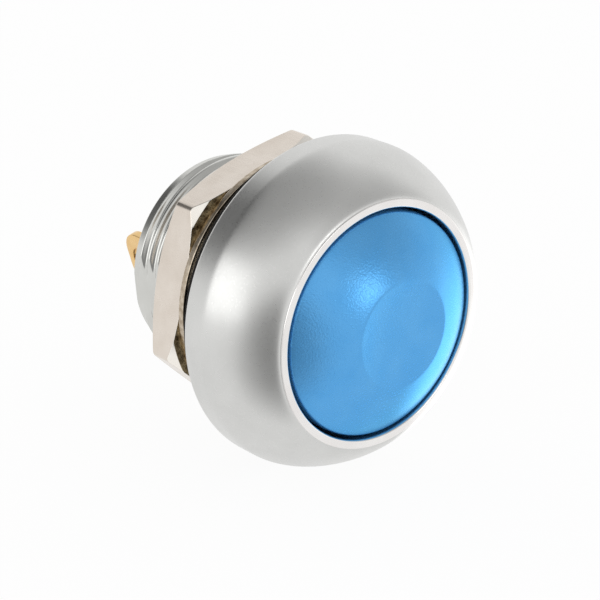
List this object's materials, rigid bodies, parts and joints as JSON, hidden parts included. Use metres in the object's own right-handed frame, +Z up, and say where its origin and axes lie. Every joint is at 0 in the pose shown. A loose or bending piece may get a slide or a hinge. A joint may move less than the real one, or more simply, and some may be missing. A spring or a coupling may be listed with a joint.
{
  "type": "pushbutton switch",
  "caption": "Momentary panel-mount pushbutton with a domed satin metal bezel, dished round cap, threaded bush, hex nut and solder lugs.",
  "frame": {"origin": "on the switch's axis, in the plane of the gasket's rear face, where the panel's front face seats", "axes": "-Y the way the button faces, +Y along the bush to the solder lugs, +Z up, +X to the right as seen by a person who faces the button"},
  "size_m": [0.0176, 0.0203, 0.0176],
  "materials": {
    "satin_chrome_zinc": "fine blasted, satin chrome plated zinc casting",
    "blue_plastic": "moulded, faint grain",
    "white_acetal": "moulded",
    "black_rubber": "moulded",
    "black_nylon": "moulded, glass filled",
    "spring_steel": "drawn wire",
    "contact_brass": "stamped",
    "contact_silver": "coined silver",
    "gold_plated_brass": "stamped, gold plated",
    "potting_resin": "poured resin, slightly wavy",
    "nickel_steel": "stamped, nickel plated",
    "nickel_brass": "milled, nickel plated"
  },
  "bodies": {
    "switch_body": {"housing": "satin_chrome_zinc", "guide_sleeve": "black_nylon", "return_spring": "spring_steel", "fixed_contact_left": "contact_silver", "fixed_contact_right": "contact_silver", "terminal_left": "gold_plated_brass", "terminal_right": "gold_plated_brass", "terminal_base": "black_nylon", "base_seal": "black_rubber", "potting": "potting_resin", "panel_gasket": "black_rubber", "lock_washer": "nickel_steel", "hex_nut": "nickel_brass"},
    "button": {"button_cap": "blue_plastic", "plunger": "white_acetal", "plunger_seal": "black_rubber", "retaining_clip": "spring_steel", "contact_spring": "spring_steel"},
    "bridge": {"contact_bridge": "contact_brass", "moving_contact_left": "contact_silver", "moving_contact_right": "contact_silver"}
  },
  "joints": [
    {"name": "button_press", "type": "slide", "parent": "switch_body", "child": "button", "axis": [0, 1, 0], "range_m": [0, 0.0013], "stiffness_N_per_m": 1000, "springref_m": -0.002, "deforming": ["return_spring"]},
    {"name": "bridge_slide", "type": "slide", "parent": "switch_body", "child": "bridge", "axis": [0, 1, 0], "range_m": [0, 0.0009], "deforming": ["contact_spring"]}
  ],
  "couplings": [
    {"joint": "bridge_slide", "follows": "button_press", "ratio": 0.69231}
  ]
}
